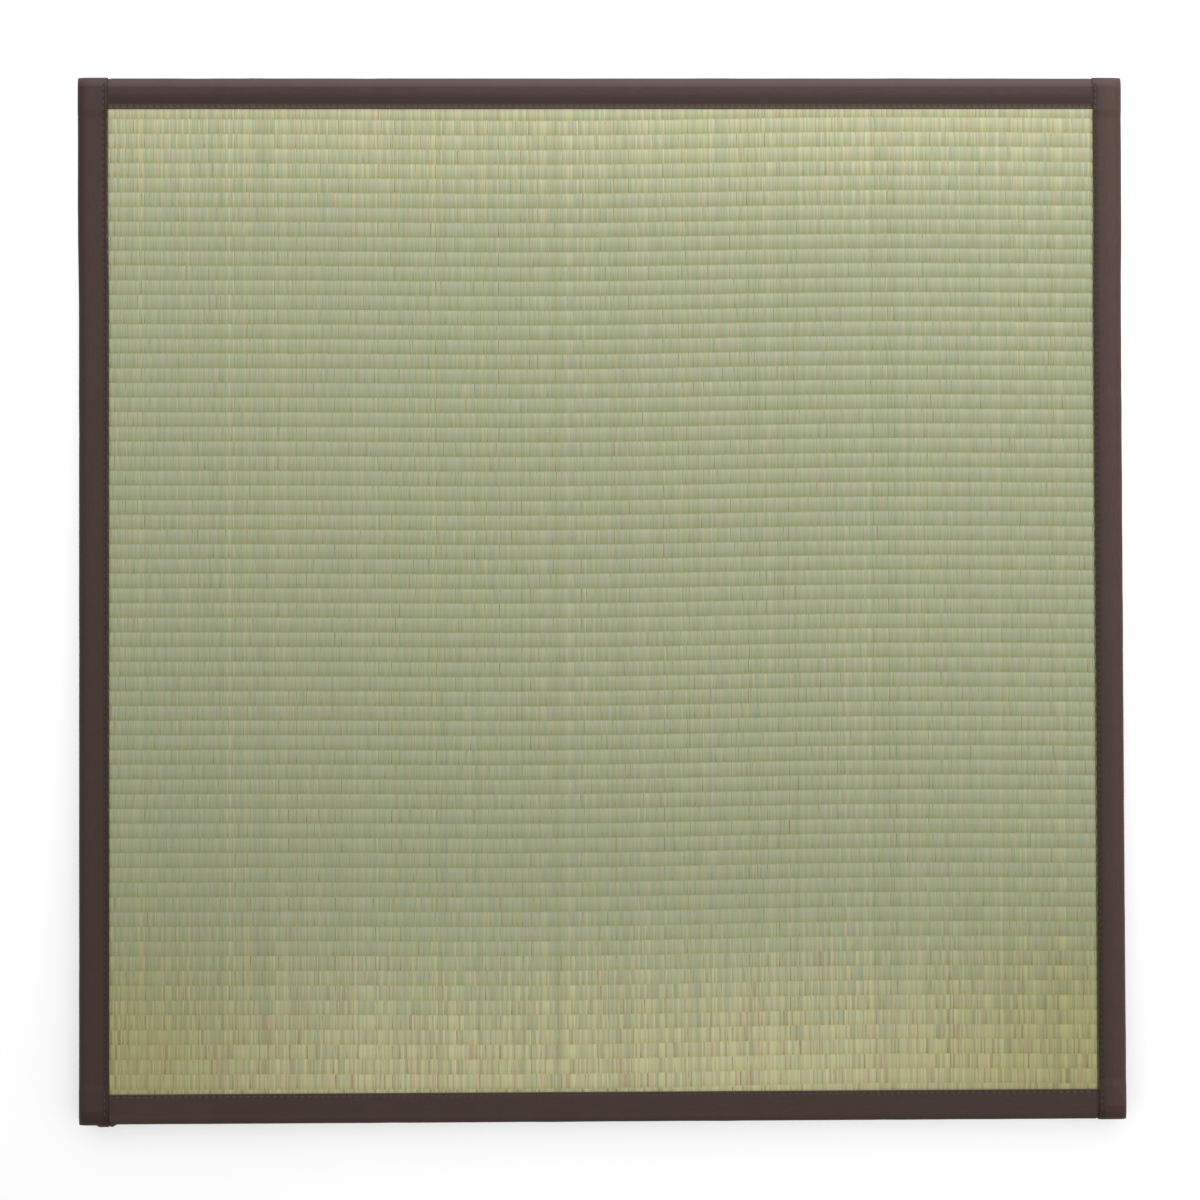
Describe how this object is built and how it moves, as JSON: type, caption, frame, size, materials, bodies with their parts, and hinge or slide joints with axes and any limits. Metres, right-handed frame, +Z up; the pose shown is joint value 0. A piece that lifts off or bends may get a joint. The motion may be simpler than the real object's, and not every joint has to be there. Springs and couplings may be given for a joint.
{
  "type": "tatami mat",
  "caption": "Square flat floor mat with a ribbed woven rush face and a brown cloth binding folded over each of its edges.",
  "frame": {"origin": "middle of the mat's underside, on the surface that it lies on", "axes": "+Z up out of the rush face, X along the ribs of the weave, Y across them"},
  "size_m": [0.82, 0.82, 0.025],
  "materials": {
    "rush": "woven rush, satin",
    "binding_cloth": "plain woven cloth, matte"
  },
  "bodies": {
    "root": {"rush_mat": "rush", "binding_back": "binding_cloth", "binding_front": "binding_cloth", "binding_left": "binding_cloth", "binding_right": "binding_cloth"}
  },
  "joints": []
}
